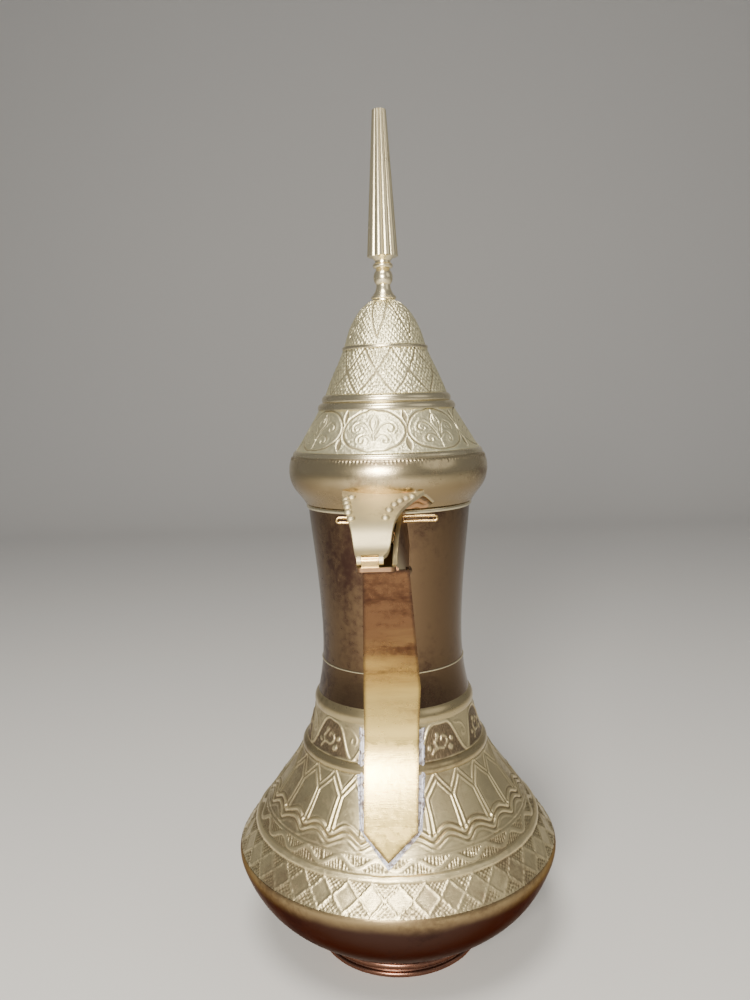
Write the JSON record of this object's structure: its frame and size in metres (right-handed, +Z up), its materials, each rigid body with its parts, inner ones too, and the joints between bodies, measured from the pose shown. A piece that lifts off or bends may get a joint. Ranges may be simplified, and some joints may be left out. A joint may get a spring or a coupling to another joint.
{
  "type": "dallah coffee pot",
  "caption": "Brass dallah coffee pot: squat belly on a foot ring, flared neck, beak spout, seven-shaped handle, and a chased bell lid on a hinge with a tall reeded finial.",
  "frame": {"origin": "centre of the underside of the foot, on the pot's axis", "axes": "+Z up along the pot's axis, +Y towards the spout, -Y towards the handle, +X to the right seen from the handle side"},
  "size_m": [0.13, 0.137, 0.331],
  "materials": {
    "bowl": "aged brass, polished, dull",
    "body": "aged brass, chased, satin",
    "neck": "aged brass, mottled brown patina",
    "trim": "aged brass, satin",
    "spout": "aged brass, satin",
    "handle": "aged brass, scratched and worn",
    "solder": "tin solder, crackled",
    "wire": "bright brass wire",
    "lid": "aged brass, chased, dry satin",
    "finial": "cast brass, polished",
    "fixings": "dull brass, inside"
  },
  "bodies": {
    "pot": {"bowl": "bowl", "foot_ring": "bowl", "shoulder": "body", "neck": "neck", "lower_waist_band": "trim", "upper_waist_band": "trim", "rim_bead": "trim", "spout": "spout", "spout_collar": "spout", "spout_rivets": "spout", "spout_strainer": "fixings", "handle_arm": "handle", "handle_strap": "handle", "handle_bracket": "handle", "handle_rivets": "handle", "handle_solder": "solder", "tie_wire": "wire", "hinge_tab": "handle", "hinge_pin": "fixings"},
    "lid": {"lid_skirt": "lid", "lid_cone": "lid", "lid_dome": "lid", "lid_joint_bead": "lid", "lid_band": "lid", "lid_wire": "lid", "lid_bezel": "fixings", "lid_tongue": "lid", "finial_base": "finial", "finial_stem": "finial", "finial_spire": "finial", "finial_rod": "fixings", "finial_washer": "fixings", "finial_nut": "fixings"}
  },
  "joints": [
    {"name": "lid_hinge", "type": "hinge", "parent": "pot", "child": "lid", "pos_m": [-0.0066, -0.0659, 0.1704], "axis": [1, 0, 0], "range_deg": [0, 95]}
  ]
}
